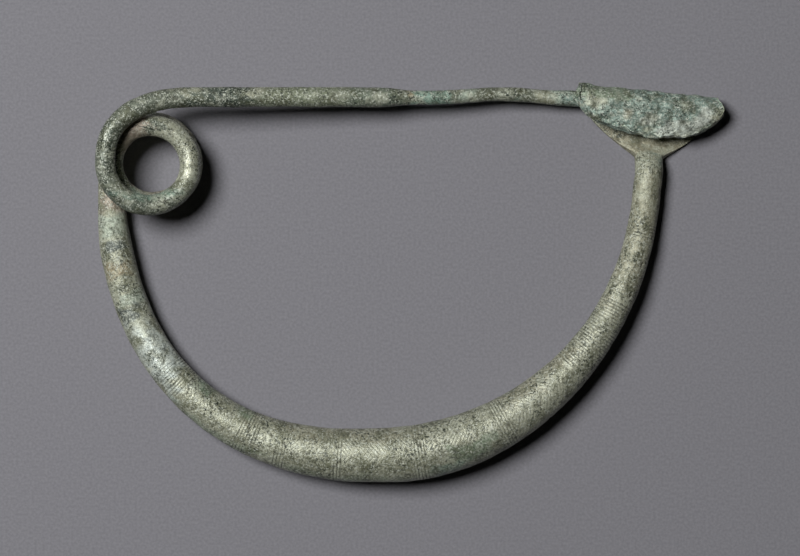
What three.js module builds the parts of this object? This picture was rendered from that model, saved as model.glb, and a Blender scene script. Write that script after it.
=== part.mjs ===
// A bronze safety-pin brooch (fibula) of the Early Iron Age, lying on its side.
// It is one piece of metal: a straight pin, a spring of two turns, an arched bow that swells to a thick belly,
// and a foot beaten out to a disc and folded over the pin's point as the catch.
// Millimetres, +Z up. X runs along the pin from the spring to the catch, and the bow hangs towards -Y.
// It is laid out round the spring's centre and moved at the end, so that the origin is the middle of its
// bounding box, at the level of the surface that it lies on.
import * as THREE from "three";

// The bow, as seen from above. Its centre line leaves the spring straight down, and its two halves are
// superellipses that meet at the belly: an exponent of 2 is an ellipse, and a higher one is fuller.
const BOW_DEPTH = 54.8; // from the level of the spring's centre down to the belly
const BOW_SPRING_SIDE = 50.1; // along X, from the leg at the spring to the belly
const BOW_CATCH_SIDE = 51.5; // along X, from the belly to the leg at the catch
const BOW_SPRING_FULLNESS = 2.34;
const BOW_CATCH_FULLNESS = 2.01;
const FOOT_ANGLE = 84; // degrees of the catch half that are used before the foot runs on straight

// The bow's thickness
const SHOULDER_DIAMETER = 4.8; // where the bow comes out from under the spring
const LEG_DIAMETER = 6.3;
const FOOT_DIAMETER = 5.4;
const BELLY_DIAMETER = 10.6;
const BELLY_PLACE = 0.565; // share of the bow's length from the spring to the thickest point
const SWELL_SPRING_SIDE = 0.222; // share of the bow's length over which it swells
const SWELL_CATCH_SIDE = 0.208;
const SHOULDER_RUN = 0.115; // share of the bow's length in which the shoulder thickens to the leg

// The spring
const SPRING_TURNS = 2;
const SPRING_OUTER_RADIUS = 7.95; // of the wire's centre line, where it meets the bow and the pin
const SPRING_INNER_RADIUS = 7.05; // halfway through its turns
const SPRING_WIRE_DIAMETER = 4.1;
const SPRING_LEAN = 2.2; // how much lower the side towards the catch lies
const SPRING_HUMP = 1.15; // how much higher the side towards the pin rises
const WIRE_GAP = 0.42; // air between one turn and the next

// The pin
const BEND_LENGTH = 17.5; // along the pin, of the wide bend from the spring into the pin
const BEND_FALL = 2.1; // from the spring's last turn down to the pin
const BEND_FALL_SHARE = 0.8; // share of the bend, from the pin, in which it falls so far
const BEND_DEPTH = 12.35; // from the level of the spring's centre to the pin
const BEND_FULLNESS = 2.4; // superellipse exponent of the bend
const PIN_DIAMETER = 3.9; // the thick half, next to the spring
const PIN_THIN_DIAMETER = 2.8; // past the step, where the surface has flaked
const PIN_MOUTH_DIAMETER = 3.1; // where it enters the catch
const PIN_TIP_DIAMETER = 0.9;
const PIN_STEP_PLACE = 0.52; // share of the free pin at which it thins
const PIN_STEP_RUN = 0.1;
const PIN_KINK = 0.75; // sideways, away from the bow
const PIN_KINK_PLACE = 0.81;
const PIN_KINK_RUN = 0.11;
const PIN_RISE = 0.15; // how far the pin's mouth end stands away from the bow
const PIN_RISE_RUN = 0.3; // share of the pin's length in which it rises so far
const PIN_POINT = 19; // length of the pin inside the catch
const PIN_CLEARANCE = 0.3; // between the pin and the catch round it

// The catch: a disc of sheet, folded in half over the pin
const CATCH_WIDTH = 28.4;
const CATCH_SHIFT = 1.3; // how far the catch stands towards the spring from the foot's middle
const CATCH_SHEET = 1.3; // thickness of the back plate and the fold
const CATCH_CRUST = 0.7; // what corrosion adds to the flap's outside
const PLATE_REACH = 12.9; // from the fold's outer edge to the neck
const PLATE_FULLNESS = 1.5; // superellipse exponent of the fan between the neck and the fold
const NECK_RUN = 6.5; // length in which the round foot flattens into the plate
const NECK_FILLET = 3; // the lower, the rounder the corner between the neck and the plate
const FOLD_TAPER = 0.22; // share of its height that the fold loses towards the pin's point
const FOLD_CORNER = 1.1; // how far the two ends of the fold are rounded off
const FLAP_REACH = 9.5; // from the fold's outer edge to the free edge
const FLAP_FULLNESS = 2.5;
// The free edge is ragged. A chip has its place across the flap from its middle, towards the spring, its half
// width, and its depth, each as a share of the flap's half width or of its reach.
const FLAP_CHIPS = [
  { place: 0.55, halfWidth: 0.36, depth: 0.13 },
  { place: 0.1, halfWidth: 0.09, depth: 0.07 },
  { place: -0.35, halfWidth: 0.09, depth: 0.07 },
];

const CRUST_RUN = 1.5; // length in which the crust thickens from the fold on to the flap
const SHEET_SPREAD = 1.2; // crowds the sheet's corners out to its edges
const SHEET_SQUARENESS = 0.25; // exponent of the sheet's round edges

// How it rests
const WORN_FLAT = 0.12; // how far it is rubbed flat underneath
const REST_LIFT = 0.3; // how high the two legs of the bow arch over the surface
const CATCH_SIDE_LIFT = 1.2; // how much higher the leg at the catch arches
const CATCH_SIDE_LIFT_PLACE = 0.85;
const CATCH_SIDE_LIFT_RUN = 0.09;

// Facets
const SIDES = 24;
const PIN_RINGS = 34;
const POINT_RINGS = 7;
const BEND_RINGS = 10;
const TURN_RINGS = 24;
const BOW_RINGS = 58;
const PLATE_RINGS = 14;
const FOLD_RINGS = 9;
const FLAP_RINGS = 10;
const FLAP_RING_CROWDING = 0.95; // crowds the flap's rings towards its free edge

const UP = new THREE.Vector3(0, 0, 1);
const { lerp, smoothstep, degToRad } = THREE.MathUtils;
const bell = (x, middle, run) => Math.exp(-(((x - middle) / run) ** 2));
const shares = (count) => Array.from({ length: count }, (_, i) => i / count);

// The half thickness of the bow at a share of its length from the spring
function bowRadius(share) {
  const swell = share < BELLY_PLACE ? SWELL_SPRING_SIDE : SWELL_CATCH_SIDE;
  const leg = lerp(LEG_DIAMETER, FOOT_DIAMETER, smoothstep(share, BELLY_PLACE, 1));
  const body = lerp(leg, BELLY_DIAMETER, bell(share, BELLY_PLACE, swell));
  return lerp(SHOULDER_DIAMETER, body, smoothstep(share, 0, SHOULDER_RUN)) / 2;
}

// The bow's centre line as seen from above, from the spring to the foot
class BowCurve extends THREE.Curve {
  getPoint(t, target = new THREE.Vector3()) {
    const angle = degToRad(t * (90 + FOOT_ANGLE));
    const springHalf = angle < Math.PI / 2;
    const reach = springHalf ? BOW_SPRING_SIDE : BOW_CATCH_SIDE;
    const power = 2 / (springHalf ? BOW_SPRING_FULLNESS : BOW_CATCH_FULLNESS);
    const across = -Math.sign(Math.cos(angle)) * reach * Math.abs(Math.cos(angle)) ** power;
    const down = BOW_DEPTH * Math.abs(Math.sin(angle)) ** power;
    return target.set(BOW_SPRING_SIDE - SPRING_OUTER_RADIUS + across, -down, 0);
  }
}

const bowCurve = new BowCurve();
bowCurve.arcLengthDivisions = 800;
const footEnd = bowCurve.getPointAt(1);
const footDirection = bowCurve.getTangentAt(1);

// The bow lies on its belly and its two ends, and lifts a little between them.
function bowStations() {
  return shares(BOW_RINGS).map((share) => {
    const radius = bowRadius(share);
    const centre = bowCurve.getPointAt(share);
    centre.z = radius - WORN_FLAT + REST_LIFT * Math.sin(2 * Math.PI * share) ** 2;
    const lift = CATCH_SIDE_LIFT * bell(share, CATCH_SIDE_LIFT_PLACE, CATCH_SIDE_LIFT_RUN);
    centre.z += lift * smoothstep(1 - share, 0, 0.06);
    return { centre, radius };
  });
}

// The wire's half thickness at a number of turns from the bow
function springRadius(turns) {
  const shoulder = lerp(SHOULDER_DIAMETER, SPRING_WIRE_DIAMETER, smoothstep(turns, 0, 0.45));
  return lerp(shoulder, PIN_DIAMETER, smoothstep(turns, SPRING_TURNS - 0.5, SPRING_TURNS)) / 2;
}

// The height of the wire's centre: the first turn climbs over its own start, and each later one lies on the
// turn below it.
function springHeight(turns) {
  if (turns > 1) {
    return springHeight(turns - 1) + springRadius(turns - 1) + springRadius(turns) + WIRE_GAP;
  }
  const climb = springRadius(0) + springRadius(1) + WIRE_GAP;
  const lean = (SPRING_LEAN * (1 - Math.cos(2 * Math.PI * turns))) / 2;
  const hump = turns < 0.5 ? SPRING_HUMP * Math.sin(2 * Math.PI * turns) ** 2 : 0;
  return springRadius(0) - WORN_FLAT + climb * turns - lean + hump;
}

// The spring, wound from the pin down to the bow
function springStations() {
  const middle = (SPRING_OUTER_RADIUS + SPRING_INNER_RADIUS) / 2;
  const swing = (SPRING_OUTER_RADIUS - SPRING_INNER_RADIUS) / 2;
  return shares(SPRING_TURNS * TURN_RINGS).map((share) => {
    const turns = SPRING_TURNS * (1 - share);
    const angle = Math.PI - 2 * Math.PI * turns;
    const reach = middle + swing * Math.cos((2 * Math.PI * turns) / SPRING_TURNS);
    const centre = new THREE.Vector3(reach * Math.cos(angle), reach * Math.sin(angle), springHeight(turns));
    return { centre, radius: springRadius(turns) };
  });
}

// The sheet of the catch, by distance along it: the back plate from the neck, the fold, and the flap
const foldRadius = (PIN_MOUTH_DIAMETER + CATCH_SHEET) / 2 + PIN_CLEARANCE;
const foldOuter = foldRadius + CATCH_SHEET / 2;
const pinHeight = CATCH_SHEET / 2 - WORN_FLAT + foldRadius;
const across = new THREE.Vector3().crossVectors(UP, footDirection); // across the catch, towards the spring
const mouthReach = CATCH_WIDTH / 2 + CATCH_SHIFT;
const foldMiddleY = BEND_DEPTH + PIN_RISE - mouthReach * across.y;
const foldMiddle = footEnd.clone().addScaledVector(footDirection, (foldMiddleY - footEnd.y) / footDirection.y);
foldMiddle.z = pinHeight;

// The free pin runs straight from the bend to the catch's mouth.
const pinStart = new THREE.Vector3(BEND_LENGTH - SPRING_OUTER_RADIUS, BEND_DEPTH,
  springHeight(SPRING_TURNS) - BEND_FALL);
const pinMouth = foldMiddle.clone().addScaledVector(across, mouthReach);

function pinRadius(share) {
  const flaked = lerp(PIN_DIAMETER, PIN_THIN_DIAMETER, smoothstep(share, PIN_STEP_PLACE - PIN_STEP_RUN / 2,
    PIN_STEP_PLACE + PIN_STEP_RUN / 2));
  return lerp(flaked, PIN_MOUTH_DIAMETER, smoothstep(share, 0.88, 1)) / 2;
}

// The pin from its point, along the channel of the catch and back to the bend
function pinStations() {
  const point = shares(POINT_RINGS).map((share) => ({
    centre: pinMouth.clone().addScaledVector(across, -PIN_POINT * (1 - share)),
    radius: lerp(PIN_TIP_DIAMETER, PIN_MOUTH_DIAMETER, share) / 2,
  }));
  const free = shares(PIN_RINGS).map((share) => {
    const fromSpring = 1 - share;
    const centre = new THREE.Vector3().lerpVectors(pinStart, pinMouth, fromSpring);
    centre.y += PIN_RISE * (smoothstep(fromSpring, 0, PIN_RISE_RUN) - fromSpring);
    centre.y += PIN_KINK * bell(fromSpring, PIN_KINK_PLACE, PIN_KINK_RUN);
    return { centre, radius: pinRadius(fromSpring) };
  });
  return [...point, ...free];
}

// The bend between the pin and the spring: a quarter of a superellipse, that rises off the spring's slope and
// sinks into the pin's
function bendStations() {
  const run = (Math.PI / 4) * (BEND_LENGTH + BEND_DEPTH);
  const power = 2 / BEND_FULLNESS;
  const pinFall = ((pinStart.z - pinMouth.z) / pinStart.distanceTo(pinMouth)) * run;
  const springFall = (springHeight(SPRING_TURNS) - springHeight(SPRING_TURNS - 0.02)) / 0.02;
  const springSlope = (springFall / (2 * Math.PI * SPRING_OUTER_RADIUS)) * run;
  return shares(BEND_RINGS).map((share) => {
    const angle = (Math.PI / 2) * share;
    const rise = pinFall * share * (1 - share) ** 2 + springSlope * share ** 2 * (1 - share);
    const centre = new THREE.Vector3(
      pinStart.x - BEND_LENGTH * Math.sin(angle) ** power,
      BEND_DEPTH * Math.cos(angle) ** power,
      pinStart.z + rise + BEND_FALL * smoothstep(share, 0, BEND_FALL_SHARE),
    );
    return { centre, radius: PIN_DIAMETER / 2 };
  });
}

// The half width of the catch at a distance from the fold's outer edge
function fanHalfWidth(distance, reach, fullness) {
  const share = Math.min(Math.max(distance / reach, 0), 1);
  return (CATCH_WIDTH / 2) * (1 - share ** fullness) ** (1 / fullness);
}

// How much of the flap's reach is lost to chips at a place across it
const chippedShare = (place) =>
  FLAP_CHIPS.reduce((sum, chip) => sum + chip.depth * bell(place, chip.place, chip.halfWidth), 0);

// Each station of the catch has its centre, half width and half height, how square its edges are, how far it
// stands towards the spring, and, on the flap, its distance from the fold.
function catchStations() {
  const place = (along, height) => foldMiddle.clone().addScaledVector(footDirection, along).setZ(height);
  const plateRun = PLATE_REACH + NECK_RUN / 2 - foldOuter;
  const plate = shares(PLATE_RINGS).map((share) => {
    const along = -plateRun * (1 - share);
    const flat = smoothstep(share, 0, NECK_RUN / plateRun);
    const halfHeight = lerp(FOOT_DIAMETER, CATCH_SHEET, flat) / 2;
    const fan = fanHalfWidth(foldOuter - along, PLATE_REACH, PLATE_FULLNESS);
    const halfWidth = (fan ** NECK_FILLET + (FOOT_DIAMETER / 2) ** NECK_FILLET) ** (1 / NECK_FILLET);
    const shift = CATCH_SHIFT * smoothstep(share, 0, 1);
    return { centre: place(along, halfHeight - WORN_FLAT), halfWidth, halfHeight, flat, shift, run: 0 };
  });
  const fold = shares(FOLD_RINGS).map((share) => {
    const angle = Math.PI * share;
    const along = foldRadius * Math.sin(angle);
    const fullness = lerp(PLATE_FULLNESS, FLAP_FULLNESS, share);
    const fan = fanHalfWidth(foldOuter - along, lerp(PLATE_REACH, FLAP_REACH, share), fullness);
    const halfWidth = fan - FOLD_CORNER * Math.sin(angle) ** 2;
    const centre = place(along, pinHeight - foldRadius * Math.cos(angle));
    return { centre, halfWidth, halfHeight: CATCH_SHEET / 2, flat: 1, shift: CATCH_SHIFT, run: 0 };
  });
  const flapRun = FLAP_REACH - foldOuter;
  const flap = shares(FLAP_RINGS).map((share) => {
    const run = flapRun * Math.sin((Math.PI / 2) * share) ** FLAP_RING_CROWDING;
    const halfWidth = fanHalfWidth(foldOuter + run, FLAP_REACH, FLAP_FULLNESS);
    const centre = place(-run, pinHeight + foldRadius);
    return { centre, halfWidth, halfHeight: CATCH_SHEET / 2, flat: 1, shift: CATCH_SHIFT, run };
  });
  return [...plate, ...fold, ...flap];
}

// A section's outline: a circle that is pulled out sideways to a flat one with round edges
function section(halfWidth, halfHeight, flat) {
  return shares(SIDES).map((share) => {
    const angle = 2 * Math.PI * (share + 0.5 / SIDES);
    const spread = SHEET_SPREAD * (1 - (2 * Math.acos(Math.cos(angle))) / Math.PI);
    const bulge = Math.abs(Math.sin(angle)) ** lerp(1, SHEET_SQUARENESS, flat);
    return {
      side: (halfWidth - halfHeight) * THREE.MathUtils.clamp(spread, -1, 1) + halfHeight * Math.cos(angle),
      out: halfHeight * Math.sign(Math.sin(angle)) * bulge,
    };
  });
}

const rubbedFlat = (point) => point.setZ(Math.max(point.z, 0));

// A ring round the wire: level sideways, and square to its direction
function wireRing(station, direction) {
  const side = new THREE.Vector3().crossVectors(UP, direction).normalize();
  const out = new THREE.Vector3().crossVectors(direction, side);
  return section(station.radius, station.radius, 0).map((p) =>
    rubbedFlat(station.centre.clone().addScaledVector(side, p.side).addScaledVector(out, p.out)));
}

// A ring round the sheet. On the flap, the crust domes its outside and chips are lost from its free edge.
function sheetRing(station, direction) {
  const out = new THREE.Vector3().crossVectors(direction, across);
  const grown = smoothstep(station.run, 0, CRUST_RUN) * CATCH_CRUST;
  return section(station.halfWidth, station.halfHeight, station.flat).map((p) => {
    const lost = station.run * chippedShare(p.side / (CATCH_WIDTH / 2));
    const dome = 1 - (p.side / station.halfWidth) ** 4;
    const crust = p.out < 0 ? grown * dome : 0;
    const point = station.centre.clone().addScaledVector(across, p.side + station.shift)
      .addScaledVector(out, p.out - crust).addScaledVector(footDirection, lost);
    const taper = FOLD_TAPER * (0.5 - p.side / CATCH_WIDTH) * smoothstep(station.flat, 0.9, 1);
    point.z -= taper * Math.max(point.z - CATCH_SHEET, 0);
    return rubbedFlat(point);
  });
}

// The direction of the line through each station, from its neighbours
function directions(stations) {
  return stations.map((_, i) => {
    const before = stations[Math.max(i - 1, 0)].centre;
    const after = stations[Math.min(i + 1, stations.length - 1)].centre;
    return after.clone().sub(before).normalize();
  });
}

// One closed solid through a row of rings, with a point in the middle of each end
function solidThrough(rings) {
  const middle = (ring) => ring.reduce((sum, p) => sum.add(p), new THREE.Vector3()).divideScalar(ring.length);
  const points = [...rings.flat(), middle(rings[0]), middle(rings.at(-1))];
  const index = [];
  const last = (rings.length - 1) * SIDES;
  for (let k = 0; k < SIDES; k++) {
    const next = (k + 1) % SIDES;
    for (let start = 0; start < last; start += SIDES) {
      const [a, b, c, d] = [start + k, start + next, start + SIDES + next, start + SIDES + k];
      index.push(a, b, c, a, c, d);
    }
    index.push(points.length - 2, next, k, points.length - 1, last + k, last + next);
  }
  const geometry = new THREE.BufferGeometry().setFromPoints(points);
  geometry.setIndex(index);
  geometry.computeVertexNormals();
  return geometry;
}

function fibulaGeometry() {
  const wire = [...pinStations(), ...bendStations(), ...springStations(), ...bowStations()];
  const sheet = catchStations();
  const all = [...wire, ...sheet];
  const ways = directions(all);
  const rings = all.map((station, i) =>
    (i < wire.length ? wireRing(station, ways[i]) : sheetRing(station, ways[i])));
  return solidThrough(rings);
}

const bronze = new THREE.MeshStandardMaterial({ color: 0x8b8d76, roughness: 0.62, metalness: 0.25 });

const geometry = fibulaGeometry();
geometry.computeBoundingBox();
const box = geometry.boundingBox;
geometry.translate(-(box.min.x + box.max.x) / 2, -(box.min.y + box.max.y) / 2, -box.min.z);

const fibula = new THREE.Mesh(geometry, bronze);
fibula.name = "fibula";

const part = new THREE.Group();
part.add(fibula);
export default part;
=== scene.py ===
"""A cast bronze brooch of the Early Iron Age, as it came out of the ground, lying on its side on grey card.

The brooch is one piece of metal, so it is one mesh: a skin drawn through rings along the wire, from the pin's
point through the spring, the bow and the foot to the free edge of the catch. Geometry Nodes cut the engraved
lines into the bow and raise the corrosion. Lengths in this file are in millimetres until the mesh is made.
"""

import math

import bpy
import numpy as np
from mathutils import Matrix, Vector


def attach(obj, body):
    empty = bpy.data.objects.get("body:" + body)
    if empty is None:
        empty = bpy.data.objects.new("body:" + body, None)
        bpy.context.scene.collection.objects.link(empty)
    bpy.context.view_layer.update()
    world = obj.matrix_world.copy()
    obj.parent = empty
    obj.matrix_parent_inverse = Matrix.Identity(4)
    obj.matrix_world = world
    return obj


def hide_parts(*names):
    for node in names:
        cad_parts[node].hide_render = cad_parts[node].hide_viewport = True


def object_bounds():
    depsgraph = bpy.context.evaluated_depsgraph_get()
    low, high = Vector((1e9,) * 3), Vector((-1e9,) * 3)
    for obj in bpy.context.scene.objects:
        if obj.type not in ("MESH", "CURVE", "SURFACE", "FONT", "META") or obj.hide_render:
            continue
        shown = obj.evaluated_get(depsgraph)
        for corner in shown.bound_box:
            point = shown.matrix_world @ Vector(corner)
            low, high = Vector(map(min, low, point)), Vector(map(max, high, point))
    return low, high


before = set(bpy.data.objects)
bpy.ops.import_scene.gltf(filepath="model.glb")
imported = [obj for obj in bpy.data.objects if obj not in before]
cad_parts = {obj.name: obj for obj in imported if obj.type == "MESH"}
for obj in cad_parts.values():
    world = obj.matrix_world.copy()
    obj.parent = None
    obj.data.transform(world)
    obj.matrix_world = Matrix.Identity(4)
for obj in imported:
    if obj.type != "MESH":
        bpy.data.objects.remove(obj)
CAD_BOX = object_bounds()

MM = 0.001
TURN = 2 * math.pi

# The shape, as in the part's source
BOW_DEPTH = 54.8
BOW_SPRING_SIDE = 50.1
BOW_CATCH_SIDE = 51.5
BOW_SPRING_FULLNESS = 2.34
BOW_CATCH_FULLNESS = 2.01
FOOT_ANGLE = 84
SHOULDER_DIAMETER = 4.8
LEG_DIAMETER = 6.3
FOOT_DIAMETER = 5.4
BELLY_DIAMETER = 10.6
BELLY_PLACE = 0.565
SWELL_SPRING_SIDE = 0.222
SWELL_CATCH_SIDE = 0.208
SHOULDER_RUN = 0.115
SHOULDER_TURNS = 0.45
SPRING_TURNS = 2
SPRING_OUTER_RADIUS = 7.95
SPRING_INNER_RADIUS = 7.05
SPRING_WIRE_DIAMETER = 4.1
SPRING_LEAN = 2.2
SPRING_HUMP = 1.15
WIRE_GAP = 0.42
BEND_LENGTH = 17.5
BEND_FALL = 2.1
BEND_FALL_SHARE = 0.8
BEND_DEPTH = 12.35
BEND_FULLNESS = 2.4
PIN_DIAMETER = 3.9
PIN_TURNS = 0.5
PIN_THIN_DIAMETER = 2.8
PIN_MOUTH_DIAMETER = 3.1
PIN_TIP_DIAMETER = 0.9
PIN_STEP_PLACE = 0.52
PIN_STEP_RUN = 0.1
PIN_MOUTH_PLACE = 0.88
PIN_KINK = 0.75
PIN_KINK_PLACE = 0.81
PIN_KINK_RUN = 0.11
PIN_RISE = 0.15
PIN_RISE_RUN = 0.3
PIN_POINT = 19
PIN_CLEARANCE = 0.3
CATCH_WIDTH = 28.4
CATCH_SHIFT = 1.3
CATCH_SHEET = 1.3
CATCH_CRUST = 0.7
PLATE_REACH = 12.9
PLATE_FULLNESS = 1.5
NECK_RUN = 6.5
NECK_FILLET = 3
FOLD_TAPER = 0.22
FOLD_CORNER = 1.1
FLAP_REACH = 9.5
FLAP_FULLNESS = 2.5
CRUST_RUN = 1.5
WORN_FLAT = 0.12
REST_LIFT = 0.3
CATCH_SIDE_LIFT = 1.2
CATCH_SIDE_LIFT_PLACE = 0.85
CATCH_SIDE_LIFT_RUN = 0.09
CATCH_SIDE_LIFT_END = 0.06

# The chips out of the flap's free edge: place across it, half width and depth, as in the part's source, and
# the smaller ones that only show here
FLAP_CHIPS = [
    (0.55, 0.36, 0.13),
    (0.1, 0.09, 0.07),
    (-0.35, 0.09, 0.07),
    (-0.22, 0.035, 0.05),
    (0.3, 0.04, 0.035),
    (0.74, 0.05, 0.03),
    (-0.6, 0.06, 0.03),
]

# What only shows here: the crusted lip at the catch's mouth, and the rounder far end of its fold. Places and
# runs are measured from the outer side of the fold, and shares across the catch from its middle to its end.
MOUTH_LIP = 0.7
MOUTH_LIP_PLACE = 0.3
MOUTH_LIP_RUN = 1.8
MOUTH_LIP_SHARES = (0.7, 0.97)
MOUTH_LIP_THICKER = 0.8
MOUTH_LUMPS = 0.3
MOUTH_LUMP_WAVES = (2.3, 1.7)
FAR_END_SHARES = (0.8, 1)
FAR_END_FULLER = 0.6
FAR_END_FULLER_PLACE = 3.6
FAR_END_FULLER_RUN = 2.2
FAR_END_ROUNDER = 0.2
FAR_END_ROUNDER_RUN = 1

# The strip along the flap's free edge where the crust has flaked away: share of the flap's outline from which
# it is gone, place across the flap, and the waves of the strip's own edge by height, closeness and start
RIM_SHARES = (0.68, 0.74)
RIM_PLACES = (-3, -1)
RIM_WAVES = [(0.06, 1.9, 0), (0.03, 4.3, 1)]

# The crust on the flap: from and to as shares of the sheet's rings, and how squarely it falls off sideways
FLAP_CRUST_SHARES = (0.44, 0.72)
CRUST_DOME = 4

# Rings along the wire, by the spacing that each length needs, and sides round it
POINT_SPACING = 0.8
PIN_SPACING = 0.42
SPRING_SPACING = 0.4
BOW_SPACING = 0.172
SHEET_SPACING = 0.2
FLAP_SPACING = 0.8 * SHEET_SPACING
FLAP_CROWDING = 0.95  # under 1, the rings crowd less towards the flap's free edge
WIRE_SIDES = 32
BOW_SIDES = 64
SHEET_SIDES = 128
TOP_CROWDING = 0.35  # how much closer together the sides are on the top of the bow, where the lines are
CROWDING_RINGS = 20  # rings in which the sides come closer together at the start of the bow
SHEET_SPREAD = 1.2  # over 1, the sides round the sheet crowd towards its round edges
SHEET_SQUARENESS = 0.25  # exponent of the sheet's round edges
SLOPE_TURNS = 0.02  # turns of the spring over which its slope is taken


def lerp(a, b, share):
    return a + (b - a) * share


def smooth(x, low, high):
    share = np.clip((x - low) / (high - low), 0, 1)
    return share * share * (3 - 2 * share)


def bell(x, middle, run):
    return np.exp(-(((x - middle) / run) ** 2))


def steps(length, spacing):
    """Shares from 0 up to, and without, 1."""
    count = max(int(round(length / spacing)), 2)
    return np.arange(count) / count


def level_cross(direction):
    """The level direction to the left of each direction."""
    side = np.stack([-direction[:, 1], direction[:, 0], np.zeros(len(direction))], axis=1)
    return side / np.linalg.norm(side, axis=1, keepdims=True)


# The bow

def bow_plan(t):
    """The bow's centre line as seen from above, t from 0 at the spring to 1 at the foot."""
    angle = np.radians(t * (90 + FOOT_ANGLE))
    spring_half = angle < math.pi / 2
    reach = np.where(spring_half, BOW_SPRING_SIDE, BOW_CATCH_SIDE)
    power = 2 / np.where(spring_half, BOW_SPRING_FULLNESS, BOW_CATCH_FULLNESS)
    along = -np.sign(np.cos(angle)) * reach * np.abs(np.cos(angle)) ** power
    down = BOW_DEPTH * np.abs(np.sin(angle)) ** power
    return np.stack([BOW_SPRING_SIDE - SPRING_OUTER_RADIUS + along, -down, 0 * t], axis=1)


FINE_T = np.linspace(0, 1, 6001)
FINE_BOW = bow_plan(FINE_T)
FINE_RUN = np.concatenate([[0], np.cumsum(np.linalg.norm(np.diff(FINE_BOW, axis=0), axis=1))])
BOW_LENGTH = FINE_RUN[-1]
FOOT_END = FINE_BOW[-1]
FOOT_DIRECTION = (FINE_BOW[-1] - FINE_BOW[-2]) / np.linalg.norm(FINE_BOW[-1] - FINE_BOW[-2])


def bow_radius(share):
    swell = np.where(share < BELLY_PLACE, SWELL_SPRING_SIDE, SWELL_CATCH_SIDE)
    leg = lerp(LEG_DIAMETER, FOOT_DIAMETER, smooth(share, BELLY_PLACE, 1))
    body = lerp(leg, BELLY_DIAMETER, bell(share, BELLY_PLACE, swell))
    return lerp(SHOULDER_DIAMETER, body, smooth(share, 0, SHOULDER_RUN)) / 2


def bow_line():
    share = steps(BOW_LENGTH, BOW_SPACING)
    centre = bow_plan(np.interp(share * BOW_LENGTH, FINE_RUN, FINE_T))
    radius = bow_radius(share)
    centre[:, 2] = radius - WORN_FLAT + REST_LIFT * np.sin(TURN * share) ** 2
    catch_side = bell(share, CATCH_SIDE_LIFT_PLACE, CATCH_SIDE_LIFT_RUN)
    centre[:, 2] += CATCH_SIDE_LIFT * catch_side * smooth(1 - share, 0, CATCH_SIDE_LIFT_END)
    foot_run = np.linalg.norm((FOLD_MIDDLE - FOOT_END)[:2]) - PLATE_RUN
    foot = FOOT_END + np.outer(steps(foot_run, SHEET_SPACING) * foot_run, FOOT_DIRECTION)
    foot_radius = np.full(len(foot), FOOT_DIAMETER / 2)
    foot[:, 2] = foot_radius - WORN_FLAT
    return np.vstack([centre, foot]), np.concatenate([radius, foot_radius])


# The spring

def spring_radius(turns):
    shoulder = lerp(SHOULDER_DIAMETER, SPRING_WIRE_DIAMETER, smooth(turns, 0, SHOULDER_TURNS))
    return lerp(shoulder, PIN_DIAMETER, smooth(turns, SPRING_TURNS - PIN_TURNS, SPRING_TURNS)) / 2


def spring_height(turns):
    """The first turn climbs over its own start, and each later one lies on the turn below it."""
    turns = np.asarray(turns, dtype=float)
    climb = spring_radius(0.0) + spring_radius(1.0) + WIRE_GAP
    lowest = np.where(turns > 1, turns - 1, turns)
    lean = SPRING_LEAN * (1 - np.cos(TURN * lowest)) / 2
    hump = np.where(lowest < 0.5, SPRING_HUMP * np.sin(TURN * lowest) ** 2, 0)
    height = spring_radius(0.0) - WORN_FLAT + climb * lowest - lean + hump
    lift = spring_radius(lowest) + spring_radius(lowest + 1) + WIRE_GAP
    return height + np.where(turns > 1, lift, 0)


def spring_line():
    middle = (SPRING_OUTER_RADIUS + SPRING_INNER_RADIUS) / 2
    swing = (SPRING_OUTER_RADIUS - SPRING_INNER_RADIUS) / 2
    turns = SPRING_TURNS * (1 - steps(SPRING_TURNS * TURN * middle, SPRING_SPACING))
    angle = math.pi - TURN * turns
    reach = middle + swing * np.cos(TURN * turns / SPRING_TURNS)
    centre = np.stack([reach * np.cos(angle), reach * np.sin(angle), spring_height(turns)], axis=1)
    return centre, spring_radius(turns)


# The catch's place, the pin and the bend

FOLD_RADIUS = (PIN_MOUTH_DIAMETER + CATCH_SHEET) / 2 + PIN_CLEARANCE
FOLD_OUTER = FOLD_RADIUS + CATCH_SHEET / 2
PIN_HEIGHT = CATCH_SHEET / 2 - WORN_FLAT + FOLD_RADIUS
ACROSS = np.array([-FOOT_DIRECTION[1], FOOT_DIRECTION[0], 0])
MOUTH_REACH = CATCH_WIDTH / 2 + CATCH_SHIFT
FOLD_MIDDLE_Y = BEND_DEPTH + PIN_RISE - MOUTH_REACH * ACROSS[1]
FOLD_MIDDLE = FOOT_END + FOOT_DIRECTION * (FOLD_MIDDLE_Y - FOOT_END[1]) / FOOT_DIRECTION[1]
FOLD_MIDDLE[2] = PIN_HEIGHT
PLATE_RUN = PLATE_REACH + NECK_RUN / 2 - FOLD_OUTER  # from the neck to the fold's middle
PIN_START_HEIGHT = float(spring_height(SPRING_TURNS)) - BEND_FALL
PIN_START = np.array([BEND_LENGTH - SPRING_OUTER_RADIUS, BEND_DEPTH, PIN_START_HEIGHT])
PIN_MOUTH = FOLD_MIDDLE + ACROSS * MOUTH_REACH
PIN_LENGTH = np.linalg.norm(PIN_MOUTH - PIN_START)


def pin_radius(share):
    half_step = PIN_STEP_RUN / 2
    thinned = smooth(share, PIN_STEP_PLACE - half_step, PIN_STEP_PLACE + half_step)
    flaked = lerp(PIN_DIAMETER, PIN_THIN_DIAMETER, thinned)
    return lerp(flaked, PIN_MOUTH_DIAMETER, smooth(share, PIN_MOUTH_PLACE, 1)) / 2


def point_line():
    share = steps(PIN_POINT, POINT_SPACING)
    centre = PIN_MOUTH - np.outer(PIN_POINT * (1 - share), ACROSS)
    return centre, lerp(PIN_TIP_DIAMETER, PIN_MOUTH_DIAMETER, share) / 2


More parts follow.
